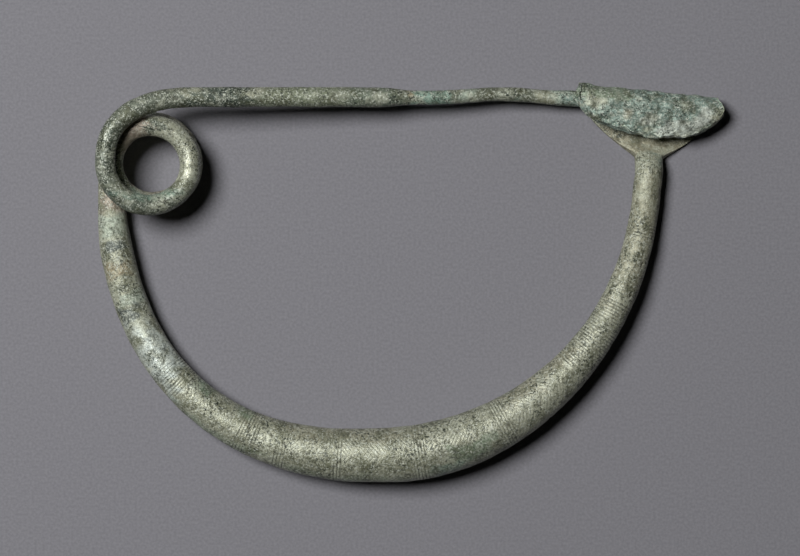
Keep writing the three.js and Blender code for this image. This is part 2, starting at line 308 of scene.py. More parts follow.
def pin_line():
    from_spring = 1 - steps(PIN_LENGTH, PIN_SPACING)
    centre = PIN_START + np.outer(from_spring, PIN_MOUTH - PIN_START)
    centre[:, 1] += PIN_RISE * (smooth(from_spring, 0, PIN_RISE_RUN) - from_spring)
    centre[:, 1] += PIN_KINK * bell(from_spring, PIN_KINK_PLACE, PIN_KINK_RUN)
    return centre, pin_radius(from_spring)


def bend_line():
    run = math.pi / 4 * (BEND_LENGTH + BEND_DEPTH)
    power = 2 / BEND_FULLNESS
    pin_fall = (PIN_START[2] - PIN_MOUTH[2]) / PIN_LENGTH * run
    last_fall = float(spring_height(SPRING_TURNS) - spring_height(SPRING_TURNS - SLOPE_TURNS))
    spring_slope = last_fall / SLOPE_TURNS / (TURN * SPRING_OUTER_RADIUS) * run
    share = steps(run, SPRING_SPACING)
    angle = math.pi / 2 * share
    rise = pin_fall * share * (1 - share) ** 2 + spring_slope * share**2 * (1 - share)
    x = PIN_START[0] - BEND_LENGTH * np.sin(angle) ** power
    y = BEND_DEPTH * np.cos(angle) ** power
    rise = rise + BEND_FALL * smooth(share, 0, BEND_FALL_SHARE)
    return np.stack([x, y, PIN_START[2] + rise], axis=1), np.full(len(share), PIN_DIAMETER / 2)


# The sheet of the catch

def fan_half_width(distance, reach, fullness):
    share = np.clip(distance / reach, 0, 1)
    return CATCH_WIDTH / 2 * (1 - share**fullness) ** (1 / fullness)


def chipped_share(place):
    return sum(depth * bell(place, middle, half) for middle, half, depth in FLAP_CHIPS)


def rim_share(side, run):
    """1 on the strip along the flap's free edge, towards the spring, where the crust has flaked away."""
    along = ((FOLD_OUTER + run) / FLAP_REACH) ** FLAP_FULLNESS
    across = np.abs(side / (CATCH_WIDTH / 2)) ** FLAP_FULLNESS
    wander = sum(height * np.sin(side * closeness + start) for height, closeness, start in RIM_WAVES)
    return smooth(along + across + wander, *RIM_SHARES) * smooth(side, *RIM_PLACES)


def sheet_line():
    """Centre, half width, half height, squareness, shift and distance on to the flap, of each ring."""
    share = steps(PLATE_RUN, SHEET_SPACING)
    along = -PLATE_RUN * (1 - share)
    flat = smooth(share, 0, NECK_RUN / PLATE_RUN)
    half_height = lerp(FOOT_DIAMETER, CATCH_SHEET, flat) / 2
    fan = fan_half_width(FOLD_OUTER - along, PLATE_REACH, PLATE_FULLNESS)
    half_width = (fan**NECK_FILLET + (FOOT_DIAMETER / 2) ** NECK_FILLET) ** (1 / NECK_FILLET)
    height = half_height - WORN_FLAT
    plate = [along, height, half_width, half_height, flat, CATCH_SHIFT * smooth(share, 0, 1), 0 * share]

    share = steps(math.pi * FOLD_RADIUS, SHEET_SPACING)
    angle = math.pi * share
    along = FOLD_RADIUS * np.sin(angle)
    fullness = lerp(PLATE_FULLNESS, FLAP_FULLNESS, share)
    fan = fan_half_width(FOLD_OUTER - along, lerp(PLATE_REACH, FLAP_REACH, share), fullness)
    half_width = fan - FOLD_CORNER * np.sin(angle) ** 2
    height = PIN_HEIGHT - FOLD_RADIUS * np.cos(angle)
    even = np.ones(len(share))
    fold = [along, height, half_width, even * CATCH_SHEET / 2, even, even * CATCH_SHIFT, 0 * share]

    flap_run = FLAP_REACH - FOLD_OUTER
    share = steps(flap_run, FLAP_SPACING)
    run = flap_run * np.sin(math.pi / 2 * share) ** FLAP_CROWDING
    even = np.ones(len(share))
    height = even * (PIN_HEIGHT + FOLD_RADIUS)
    half_width = fan_half_width(FOLD_OUTER + run, FLAP_REACH, FLAP_FULLNESS)
    flap = [-run, height, half_width, even * CATCH_SHEET / 2, even, even * CATCH_SHIFT, run]

    columns = [np.concatenate(parts) for parts in zip(plate, fold, flap)]
    centre = FOLD_MIDDLE + np.outer(columns[0], FOOT_DIRECTION)
    centre[:, 2] = columns[1]
    return centre, [columns[0], *columns[2:]]


# The skin

def ring_angles(sides, crowding):
    """The angle of each side of each ring from the top, crowded towards the top by its ring's crowding."""
    even = TURN * np.arange(sides) / sides - math.pi / 2
    from_top = (even - math.pi / 2 + math.pi) % TURN - math.pi
    return from_top - crowding[:, None] * np.sin(from_top)


def section(half_width, half_height, flat, crowding, sides):
    """Sideways and outward places round each ring: a circle that is pulled out to a flat with round edges."""
    from_top = ring_angles(sides, crowding)
    angle = from_top + math.pi / 2
    spread = np.clip(SHEET_SPREAD * (1 - 2 * np.arccos(np.clip(np.cos(angle), -1, 1)) / math.pi), -1, 1)
    squareness = lerp(1, SHEET_SQUARENESS, flat)[:, None]
    side = (half_width - half_height)[:, None] * spread + half_height[:, None] * np.cos(angle)
    out = half_height[:, None] * np.sign(np.sin(angle)) * np.abs(np.sin(angle)) ** squareness
    return side, out, from_top


def headings(centre):
    ahead = np.vstack([centre[1:], centre[-1:]])
    behind = np.vstack([centre[:1], centre[:-1]])
    way = ahead - behind
    return way / np.linalg.norm(way, axis=1, keepdims=True)


def make_skin():
    """Points in millimetres, faces, and what each point needs to know about its place on the brooch."""
    point_centre, point_radius = point_line()
    pin_centre, pin_rad = pin_line()
    bend_centre, bend_radius = bend_line()
    spring_centre, spring_rad = spring_line()
    bow_centre, bow_rad = bow_line()
    sheet_centre, (sheet_along, sheet_width, sheet_height, flat, shift, run) = sheet_line()

    thin_centre = np.vstack([point_centre, pin_centre, bend_centre, spring_centre])
    thin_radius = np.concatenate([point_radius, pin_rad, bend_radius, spring_rad])
    centre = np.vstack([thin_centre, bow_centre, sheet_centre])
    way = headings(centre)
    along = np.concatenate([[0], np.cumsum(np.linalg.norm(np.diff(centre, axis=0), axis=1))])
    thin_count, bow_count = len(thin_centre), len(bow_centre)
    wire_count = thin_count + bow_count

    blocks = []
    tags = []
    for first, last, sides, radius, crowd in (
        (0, thin_count, WIRE_SIDES, thin_radius, 0.0),
        (thin_count, wire_count, BOW_SIDES, bow_rad, TOP_CROWDING),
    ):
        direction = way[first:last]
        side_way = level_cross(direction)
        out_way = np.cross(direction, side_way)
        crowding = crowd * smooth(np.arange(last - first), 0, CROWDING_RINGS)
        side, out, from_top = section(radius, radius, 0 * radius, crowding, sides)
        points = (centre[first:last, None, :] + side_way[:, None, :] * side[:, :, None]
                  + out_way[:, None, :] * out[:, :, None])
        blocks.append(points)
        bow = along[first:last] - along[thin_count]
        tags.append(np.stack([
            np.broadcast_to(along[first:last, None], side.shape),
            np.broadcast_to(bow[:, None], side.shape),
            -from_top * radius[:, None],
            np.zeros(side.shape),
            np.broadcast_to(radius[:, None], side.shape),
            np.zeros(side.shape),
        ], axis=2))

    direction = way[wire_count:]
    out_way = np.cross(direction, ACROSS)
    crowding = lerp(TOP_CROWDING, -TOP_CROWDING, smooth(np.arange(len(flat)), 0, len(flat) / 2))
    side, out, from_top = section(sheet_width, sheet_height, flat, crowding, SHEET_SIDES)
    grown = smooth(run, 0, CRUST_RUN)[:, None] * CATCH_CRUST
    lost = run[:, None] * chipped_share(side / (CATCH_WIDTH / 2))
    dome = 1 - (side / sheet_width[:, None]) ** CRUST_DOME
    out = out - np.where(out < 0, grown * dome, 0)
    points = (sheet_centre[:, None, :] + ACROSS * (side + shift[:, None])[:, :, None]
              + out_way[:, None, :] * out[:, :, None] + FOOT_DIRECTION * lost[:, :, None])
    from_fold = FOLD_OUTER - sheet_along[:, None]
    mouth_end = smooth(side / sheet_width[:, None], *MOUTH_LIP_SHARES)
    wave = np.sin(MOUTH_LUMP_WAVES[0] * points[:, :, 1] + MOUTH_LUMP_WAVES[1] * points[:, :, 2])
    lumps = 1 - MOUTH_LUMPS + MOUTH_LUMPS * wave
    lip = MOUTH_LIP * mouth_end * bell(from_fold, MOUTH_LIP_PLACE, MOUTH_LIP_RUN) * lumps
    thicker = MOUTH_LIP_THICKER * lip * (out < 0)
    points += ACROSS * lip[:, :, None] - out_way[:, None, :] * thicker[:, :, None]
    far_end = smooth(-side / sheet_width[:, None], *FAR_END_SHARES)
    fuller = FAR_END_FULLER * bell(from_fold, FAR_END_FULLER_PLACE, FAR_END_FULLER_RUN)
    rounder = FAR_END_ROUNDER * bell(from_fold, 0, FAR_END_ROUNDER_RUN)
    points -= ACROSS * (far_end * (fuller - rounder))[:, :, None]
    towards_point = 0.5 - side / CATCH_WIDTH
    above = np.maximum(points[:, :, 2] - CATCH_SHEET, 0)
    points[:, :, 2] -= FOLD_TAPER * towards_point * above * smooth(flat, 0.9, 1)[:, None]
    blocks.append(points)
    crust_from, crust_full = (len(run) * share for share in FLAP_CRUST_SHARES)
    on_flap = np.where(out < 0, smooth(np.arange(len(run)), crust_from, crust_full)[:, None], 0)
    bow = along[wire_count:] - along[thin_count]
    tags.append(np.stack([
        np.broadcast_to(along[wire_count:, None], side.shape),
        np.broadcast_to(bow[:, None], side.shape),
        side,
        on_flap,
        np.broadcast_to(sheet_width[:, None], side.shape),
        on_flap * rim_share(side, run[:, None]),
    ], axis=2))

    faces = []
    start = 0
    ring_starts = []
    for points in blocks:
        count, sides = points.shape[:2]
        ring = np.arange(sides)
        after = (ring + 1) % sides
        for k in range(count):
            ring_starts.append((start + k * sides, sides))
        base = start + sides * np.arange(count - 1)[:, None]
        quads = np.stack([base + ring, base + after, base + sides + after, base + sides + ring], axis=2)
        faces.extend(quads.reshape(-1, 4).tolist())
        start += count * sides
    for thin, thick in ((thin_count - 1, thin_count), (wire_count - 1, wire_count)):
        (a, sides), (b, twice) = ring_starts[thin], ring_starts[thick]
        for k in range(sides):
            after = (k + 1) % sides
            faces.append([a + k, a + after, b + (2 * k + 2) % twice, b + 2 * k + 1])
            faces.append([a + k, b + 2 * k + 1, b + 2 * k])
    points = np.vstack([block.reshape(-1, 3) for block in blocks])
    tag = np.vstack([block.reshape(-1, 6) for block in tags])
    for (first, sides), flip in ((ring_starts[0], True), (ring_starts[-1], False)):
        middle = len(points)
        points = np.vstack([points, points[first:first + sides].mean(axis=0)])
        tag = np.vstack([tag, tag[first:first + sides].mean(axis=0)])
        for k in range(sides):
            a, b = first + k, first + (k + 1) % sides
            faces.append([middle, b, a] if flip else [middle, a, b])
    middle = (points.min(axis=0) + points.max(axis=0)) / 2
    points -= [middle[0], middle[1], 0]
    points[:, 2] = np.maximum(points[:, 2], 0)
    starts = {"bow": along[thin_count], "sheet": along[wire_count]}
    return points, faces, tag, starts


# Colours and where they lie

def to_linear(hex_colour):
    """An sRGB hex colour as the linear values that Blender mixes."""
    parts = [int(hex_colour[i:i + 2], 16) / 255 for i in (1, 3, 5)]
    return [part / 12.92 if part <= 0.04045 else ((part + 0.055) / 1.055) ** 2.4 for part in parts]


OLIVE_BEIGE = "#afb19a"
DULL_OLIVE = "#858b79"
DARK_PATINA = "#505b51"
BEIGE_BROWN = "#a39a80"
PINK_BROWN = "#a99a8a"
RUST_BEIGE = "#a99c7e"
DARK_OLIVE = "#545947"
BLUE_GREY = "#4d585c"
GREY_GREEN = "#6f7c6c"
YELLOW_GREEN = "#929d7e"
PALE_GREEN = "#bccab8"
LEAF_GREEN = "#7f9c80"
TURQUOISE = "#93b3a3"
BLUE_GREEN = "#8aa39a"
WHITE_CRUST = "#cdd3c8"
PALE_BLOOM = "#dbe5dc"
PALE_OLIVE = "#c3c5ae"

# What lies over the tints of the patches
CLOUD_DARK = "#676a52"
CLOUD_PALE = "#bfc3ad"
FLECK_PALE = "#dde2d3"
FLECK_DARK = "#29322a"
PIT_DIRT = "#4c4a3a"
# The dark of the engraved lines: dirt in the grooves, with painted shade where the grooves lie in shadow
LINE_DIRT_AND_SHADE = "#2e2f26"

CARD_GREY = "#828186"
CARD_PALER = "#8e8d92"
ROOM_GREY = "#c8c8cc"
CARD_GRAIN = 0.5
FLOOR_HALF = 1.5  # metres

SPRING_OVERLAP = 1.6  # the bow's places are counted from this far past the end of the spring

# On the bow: from and to along it, from and to round it from its top (inner side above 0), colour, cover
BOW_PATCHES = [
    (0, 8, -9, 9, PINK_BROWN, 0.9),
    (1, 7, -9, -1.6, YELLOW_GREEN, 0.7),
    (8, 12.5, -3, 3, PALE_GREEN, 0.7),
    (13, 15, -1.5, 3, BLUE_GREY, 0.8),
    (17, 20, -3, 2.5, RUST_BEIGE, 0.8),
    (21, 23, -2.5, 1.5, DARK_OLIVE, 0.7),
    (23, 25.5, -2, 3, PALE_GREEN, 0.75),
    (25.5, 28.5, -3.5, 2, BLUE_GREY, 0.8),
    (29.5, 44, -4, 4, PALE_BLOOM, 0.95),
    (45, 49, 1.8, 5, LEAF_GREEN, 0.6),
    (55, 58.5, 2.6, 6, LEAF_GREEN, 0.55),
    (44, 62, -7, -3, LEAF_GREEN, 0.4),
    (60, 92, 2.5, 9, BEIGE_BROWN, 0.35),
    (62, 92, -9, -4, LEAF_GREEN, 0.3),
    (96, 152, -4.5, 4.5, PALE_OLIVE, 0.7),
    (97, 106, -5, -0.5, LEAF_GREEN, 0.55),
    (94, 100, -7, -3.4, TURQUOISE, 0.5),
    (108, 128, 1.5, 6, BEIGE_BROWN, 0.4),
    (140, 165, -5, 5, BEIGE_BROWN, 0.35),
]

# Elsewhere: x and y of the middle, reach each way, lowest and highest, colour, cover
PATCHES = [
    (-1, 35, 38, 4, 0, 20, DULL_OLIVE, 0.9),
    (-50, 24, 16, 16, 4, 20, DULL_OLIVE, 0.8),
    (-35.5, 36, 7.5, 5, 5, 20, DARK_PATINA, 1.0),
    (-43.5, 26, 7, 9, 3.4, 9.8, PALE_OLIVE, 0.95),
    (-20, 35, 8.8, 4, 0, 20, YELLOW_GREEN, 0.4),
    (-9.3, 35, 2.6, 4, 0, 20, GREY_GREEN, 0.7),
    (-6.6, 35, 0.7, 4, 0, 20, DARK_OLIVE, 0.9),
    (-3.9, 35, 2.6, 4, 0, 20, GREY_GREEN, 0.8),
    (0, 35.3, 0.8, 1.2, 0, 20, RUST_BEIGE, 0.9),
    (4.4, 35, 4, 4, 0, 20, TURQUOISE, 0.9),
    (10.4, 35, 1.8, 4, 0, 20, PALE_GREEN, 0.8),
    (19, 35, 7.4, 4, 0, 20, DARK_OLIVE, 0.45),
    (29.5, 35, 4.2, 4, 0, 20, PALE_GREEN, 1.0),
    (-50, 32, 13, 8, 9.8, 20, DARK_PATINA, 0.55),
    (-58, 23, 4, 9, 7, 20, DARK_PATINA, 0.6),
    (-50, 13.4, 10, 2.4, 6, 20, DARK_PATINA, 0.7),
    (-48.5, 16.6, 5.5, 1.4, 6, 20, TURQUOISE, 0.6),
    (-53.5, 27.5, 4.8, 4.8, 3.4, 10.8, PINK_BROWN, 0.9),
    (-49, 22, 9, 10, 3.4, 7, PINK_BROWN, 0.6),
    (45, 33, 16, 9, 2.6, 9, BLUE_GREEN, 0.85),
    (36, 35.8, 5, 2, 2.6, 9, YELLOW_GREEN, 0.6),
    (44.5, 30.2, 2, 1.4, 2.6, 9, WHITE_CRUST, 0.8),
    (49.5, 28.4, 5, 1.6, 2.6, 9, WHITE_CRUST, 0.75),
    (55.5, 31, 1.8, 1.6, 2.6, 9, WHITE_CRUST, 0.8),
    (40.8, 31.8, 1.6, 1.2, 2.6, 9, BEIGE_BROWN, 0.8),
    (45, 26, 16, 4.5, -1, 2.4, BEIGE_BROWN, 0.6),
]

# Where the skin is polished, and where it is smooth with few flecks: middle, reach each way and share
SHINY_PLACES = [
    (-56, 25.5, 12, 3.5, 7, 6, 1.3),
    (-41, 25, 9, 5, 10, 6, 1.2),
    (-49, 16, 9, 9, 4, 6, 0.7),
]
BARE_PLACES = [
    (-53, 28.5, 8.5, 4, 5, 2.6, 0.75),
    (-55, 12, 2.5, 5, 4, 4, 0.6),
    (46, 16, 3, 5, 7, 5, 0.45),
    (45, 24, 1, 15, 4, 2, 0.55),
]

# The bow is polished too, along its length: where that begins and is full, fades and ends, and its share
BOW_SHINE = 0.65
BOW_SHINE_START = (20, 40)
BOW_SHINE_END = (125, 150)
ENGRAVED_REACH = (1.9, 2.4)  # radians round the bow from its top, in which the engraving fades out
RAGGED_WAVES = 7


def worn(points, places):
    """The share of wear at each point, strongest in the middle of each place."""
    total = np.zeros(len(points))
    for x, y, z, reach_x, reach_y, reach_z, share in places:
        far = np.linalg.norm((points - [x, y, z]) / [reach_x, reach_y, reach_z], axis=1)
        total = np.maximum(total, share * (1 - smooth(far, 0.6, 1.1)))
    return total


def ragged(points, reach, seed):
    """A slow wander between about -1 and 1, that makes a patch's edge ragged."""
    draws = np.random.default_rng(seed)
    total = 0
    for _ in range(RAGGED_WAVES):
        way = draws.normal(size=3)
        total = total + np.sin(points @ way / reach + draws.uniform(0, TURN))
    return total / (RAGGED_WAVES / 2)


def tints(points, bow, around, on_bow):
    """The colour of each point: the plain olive, with each patch laid over those before it."""
    colour = np.tile(to_linear(OLIVE_BEIGE), (len(points), 1))
    edge = 0.35 * ragged(points, 1.5, 5) + 0.25 * ragged(points, 0.6, 6)
    for start, end, lower, upper, hue, cover in BOW_PATCHES:
        along = np.abs(bow - (start + end) / 2) / ((end - start) / 2)
        across = np.abs(around - (lower + upper) / 2) / ((upper - lower) / 2)
        far = np.maximum(along, across) + edge
        share = (cover * on_bow * (1 - smooth(far, 0.6, 1.25)))[:, None]
        colour = colour + (np.array(to_linear(hue)) - colour) * share
    for x, y, reach_x, reach_y, lowest, highest, hue, cover in PATCHES:
        far = np.hypot((points[:, 0] - x) / reach_x, (points[:, 1] - y) / reach_y) + edge
        inside = (points[:, 2] > lowest) & (points[:, 2] < highest)
        share = (cover * (1 - on_bow) * inside * (1 - smooth(far, 0.75, 1.2)))[:, None]
        colour = colour + (np.array(to_linear(hue)) - colour) * share
    return colour


# Nodes

def add_node(tree, kind, inputs=None, **settings):
    """Adds a node, makes its settings, and sets or links its inputs by name or number."""
    node = tree.nodes.new(kind)
    for name, value in settings.items():
        setattr(node, name, value)
    for name, value in (inputs or {}).items():
        if isinstance(value, bpy.types.NodeSocket):
            tree.links.new(value, node.inputs[name])
        else:
            node.inputs[name].default_value = value
    return node


def maths(tree, operation, *values):
    """The result of one operation on the values."""
    return add_node(tree, "ShaderNodeMath", dict(enumerate(values)), operation=operation).outputs[0]


def remap(tree, value, low, high, least=0.0, most=1.0):
    """Least where the value is at low, most where it is at high, and even steps between them."""
    return add_node(
        tree, "ShaderNodeMapRange",
        {"Value": value, "From Min": low, "From Max": high, "To Min": least, "To Max": most},
    ).outputs[0]


def mixed(tree, share, under, over):
    """The colour under, mixed with the colour over by its share."""
    return add_node(tree, "ShaderNodeMix", {"Factor": share, 6: under, 7: over}, data_type="RGBA").outputs[2]


# The engraver's bands of lines across the bow: middle along it, half run
LINE_BANDS = [
    (41.6, 2.9),
    (59, 2.0),
    (65.9, 1.2),
    (76.3, 1.0),
    (91.9, 1.3),
    (108.5, 1.2),
    (132.5, 7.5),
    (154.3, 1.3),
]

BAND_SOFTNESS = 0.2

# The fields of herringbone between them: from, to, and the slant of its lines in degrees
SLANT_PITCH = 0.8
SLANT_SOFTNESS = 0.15
SLANT_FIELDS = [
    (44.5, 57, 38),
    (67.1, 75.3, -38),
    (77.3, 90.6, 40),
    (93.2, 107.3, -40),
    (109.7, 124.5, 38),
]


def band_mask(tree, bow, bands, softness):
    """1 where the distance along the bow lies in any of the bands."""
    mask = 0.0
    for middle, half in bands:
        away = maths(tree, "ABSOLUTE", maths(tree, "SUBTRACT", bow, middle))
        mask = maths(tree, "MAXIMUM", mask, remap(tree, away, half + softness, half))
    return mask


def line_wave(tree, place, pitch):
    """0 between the lines and 1 in the middle of each line."""
    turns = maths(tree, "DIVIDE", place, pitch)
    wave = maths(tree, "COSINE", maths(tree, "MULTIPLY", turns, TURN))
    return remap(tree, wave, 0.0, 1.0)


SURFACE_SIZES = {
    "Line pitch": 0.58,
    "Line depth": 0.08,
    "Pit size": 0.95,
    "Pit depth": 0.2,
    "Dent size": 4.5,
    "Dent depth": 0.16,
    "Crust grain": 2.2,
    "Crust height": 0.6,
    "Rim step": 0.32,
    "Seed": 11.0,
}


def surface_tree():
    """Engraved lines, pits, dents and crust, each moving the skin in or out along its normal."""
    tree = bpy.data.node_groups.new("engraving and corrosion", "GeometryNodeTree")
    tree.interface.new_socket("Geometry", in_out="INPUT", socket_type="NodeSocketGeometry")
    for name, value in SURFACE_SIZES.items():
        socket = tree.interface.new_socket(name, in_out="INPUT", socket_type="NodeSocketFloat")
        socket.default_value = value
    tree.interface.new_socket("Metal", in_out="INPUT", socket_type="NodeSocketMaterial")
    tree.interface.new_socket("Geometry", in_out="OUTPUT", socket_type="NodeSocketGeometry")
    sizes = add_node(tree, "NodeGroupInput").outputs
    position = add_node(tree, "GeometryNodeInputPosition")
    place = add_node(
        tree, "ShaderNodeVectorMath", {0: position.outputs[0], "Scale": 1 / MM}, operation="SCALE",
    ).outputs[0]
    known = {
        name: add_node(tree, "GeometryNodeInputNamedAttribute", {"Name": name}, data_type="FLOAT").outputs[0]
        for name in ("bow", "engraved", "crusted", "rim")
    }

    noises = {}
    for name, size, detail, seed_step in (
        ("pits", "Pit size", 2.0, 0.0),
        ("dents", "Dent size", 2.0, 3.0),
        ("crust", "Crust grain", 5.0, 6.0),
        ("wear", "Dent size", 3.0, 9.0),
    ):
        scale = maths(tree, "DIVIDE", 1.0, sizes[size])
        seed = maths(tree, "ADD", sizes["Seed"], seed_step)
        noises[name] = add_node(
            tree, "ShaderNodeTexNoise",
            {"Vector": place, "W": seed, "Scale": scale, "Detail": detail, "Roughness": 0.6},
            noise_dimensions="4D",
        ).outputs[0]

    # How far each kind of relief goes in, as its share at each point times its depth
    lines = line_wave(tree, known["bow"], sizes["Line pitch"])
    banded = band_mask(tree, known["bow"], LINE_BANDS, BAND_SOFTNESS)
    unworn = remap(tree, noises["wear"], 0.38, 0.6)
    pits = remap(tree, noises["pits"], 0.57, 0.72)
    dents = remap(tree, noises["dents"], 0.3, 0.75)
    crust = remap(tree, noises["crust"], 0.62, 0.38)
    total = 0.0
    for factors in (
        (lines, banded, known["engraved"], unworn, sizes["Line depth"]),
        (pits, sizes["Pit depth"]),
        (dents, sizes["Dent depth"]),
        (crust, known["crusted"], sizes["Crust height"]),
        (known["rim"], sizes["Rim step"]),
    ):
        depth = factors[0]
        for factor in factors[1:]:
            depth = maths(tree, "MULTIPLY", depth, factor)
        total = maths(tree, "ADD", total, depth)
    inward = maths(tree, "MULTIPLY", total, -MM)
    normal = add_node(tree, "GeometryNodeInputNormal").outputs[0]
    move = add_node(
        tree, "ShaderNodeVectorMath", {0: normal, "Scale": inward}, operation="SCALE",
    ).outputs[0]

    pitted = add_node(
        tree, "GeometryNodeStoreNamedAttribute",
        {"Geometry": sizes["Geometry"], "Name": "pitted", "Value": pits}, data_type="FLOAT", domain="POINT",
    ).outputs[0]
    moved = add_node(tree, "GeometryNodeSetPosition", {"Geometry": pitted, "Offset": move}).outputs[0]
    realized = add_node(tree, "GeometryNodeRealizeInstances", {"Geometry": moved}).outputs[0]
    dressed = add_node(tree, "GeometryNodeSetMaterial", {"Geometry": realized, "Material": sizes["Metal"]})
    add_node(tree, "NodeGroupOutput", {0: dressed.outputs[0]})
    return tree


def bronze():
    """Cast and hammered tin bronze, long buried: a satin skin under a thin, patchy, speckled patina."""
    material = bpy.data.materials.new("cast tin bronze, buried, with patchy patina")
    material.use_nodes = True
    tree = material.node_tree
    shader = tree.nodes["Principled BSDF"]
    shader.inputs["Metallic"].default_value = 0.25
    place = add_node(tree, "ShaderNodeTexCoord").outputs["Object"]
    per_metre = (1 / MM, 1 / MM, 1 / MM)
    place = add_node(tree, "ShaderNodeMapping", {"Vector": place, "Scale": per_metre}).outputs[0]
    known = {
        name: add_node(tree, "ShaderNodeAttribute", attribute_name=name).outputs["Fac"]
        for name in ("bow", "around", "engraved", "pitted", "shiny", "bare")
    }
    colour = add_node(tree, "ShaderNodeAttribute", attribute_name="tint").outputs["Color"]

    # Sizes in millimetres of the cloudiness, the flecks and the dust-fine grain of the patina. The finest is
    # about a quarter of a millimetre, a little coarser than one point of the picture, so that it shows.
    noises = {}
    for name, size, detail, roughness in (
        ("clouds", 3.2, 4.0, 0.65),
        ("pale flecks", 0.5, 3.0, 0.75),
        ("dark flecks", 0.56, 3.0, 0.75),
        ("grain", 0.24, 2.0, 0.6),
        ("patches", 5.5, 3.0, 0.6),
    ):
        apart = (13.0 * len(noises), 0.0, 7.0)
        shifted = add_node(tree, "ShaderNodeVectorMath", {0: place, 1: apart}, operation="ADD").outputs[0]
        noises[name] = add_node(
            tree, "ShaderNodeTexNoise",
            {"Vector": shifted, "Scale": 1 / size, "Detail": detail, "Roughness": roughness},
        ).outputs[0]

    # The engraved lines: herringbone at half strength and the cross lines of the bands, both worn in places
    slanted = 0.0
    for start, end, slant in SLANT_FIELDS:
        here = band_mask(tree, known["bow"], [((start + end) / 2, (end - start) / 2)], SLANT_SOFTNESS)
        from_top = maths(tree, "ABSOLUTE", known["around"])
        sideways = maths(tree, "MULTIPLY", from_top, math.tan(math.radians(slant)))
        place_on = maths(tree, "ADD", known["bow"], sideways)
        field = maths(tree, "MULTIPLY", line_wave(tree, place_on, SLANT_PITCH), here)
        slanted = maths(tree, "MAXIMUM", slanted, field)
    slanted = maths(tree, "MULTIPLY", slanted, 0.5)
    banded = band_mask(tree, known["bow"], LINE_BANDS, BAND_SOFTNESS)
    crossing = maths(tree, "MULTIPLY", line_wave(tree, known["bow"], SURFACE_SIZES["Line pitch"]), banded)
    lines = maths(tree, "MULTIPLY", maths(tree, "MAXIMUM", slanted, crossing), known["engraved"])
    lines = maths(tree, "MULTIPLY", lines, remap(tree, noises["clouds"], 0.4, 0.62))

    # The grain breaks up the edges of the flecks, as single crystals and pits do.
    fine = maths(tree, "MULTIPLY", maths(tree, "SUBTRACT", noises["grain"], 0.5), 0.6)
    for name in ("pale flecks", "dark flecks"):
        noises[name] = maths(tree, "ADD", noises[name], fine)

    # How much of each tone lies at each point. Dark flecks gather in patches, and bare skin has few flecks.
    patchy = remap(tree, noises["patches"], 0.4, 0.6, 0.4, 1.0)
    flecked = maths(tree, "SUBTRACT", 1.0, known["bare"])
    pale = remap(tree, noises["pale flecks"], 0.53, 0.66, 0.0, 0.85)
    dark = maths(tree, "MULTIPLY", remap(tree, noises["dark flecks"], 0.5, 0.38, 0.0, 0.95), patchy)
    for hue, share in (
        (CLOUD_DARK, remap(tree, noises["clouds"], 0.52, 0.38, 0.0, 0.75)),
        (CLOUD_PALE, remap(tree, noises["clouds"], 0.53, 0.66, 0.0, 0.7)),
        (FLECK_PALE, maths(tree, "MULTIPLY", pale, flecked)),
        (FLECK_DARK, maths(tree, "MULTIPLY", dark, flecked)),
        (PIT_DIRT, maths(tree, "MULTIPLY", known["pitted"], 0.6)),
        # The engraved lines darkened: dirt in them, and painted shade
        (LINE_DIRT_AND_SHADE, maths(tree, "MULTIPLY", lines, 0.6)),
    ):
        colour = mixed(tree, share, colour, (*to_linear(hue), 1.0))
    tree.links.new(colour, shader.inputs["Base Color"])

    # The skin is satin, duller on the pale flecks and smoother where it is polished.
    satin = remap(tree, noises["pale flecks"], 0.35, 0.7, 0.42, 0.68)
    satin = maths(tree, "ADD", satin, maths(tree, "MULTIPLY", known["shiny"], -0.2))
    tree.links.new(satin, shader.inputs["Roughness"])

    # Relief too fine for the mesh: the grain and flecks stand proud, and the lines are cut in.
    relief = maths(tree, "ADD", maths(tree, "MULTIPLY", noises["grain"], 0.5), noises["dark flecks"])
    relief = maths(tree, "ADD", relief, maths(tree, "MULTIPLY", lines, -0.9))
    bump = add_node(tree, "ShaderNodeBump", {"Height": relief, "Strength": 0.6, "Distance": 0.12 * MM})
    tree.links.new(bump.outputs[0], shader.inputs["Normal"])
    return material


# The brooch

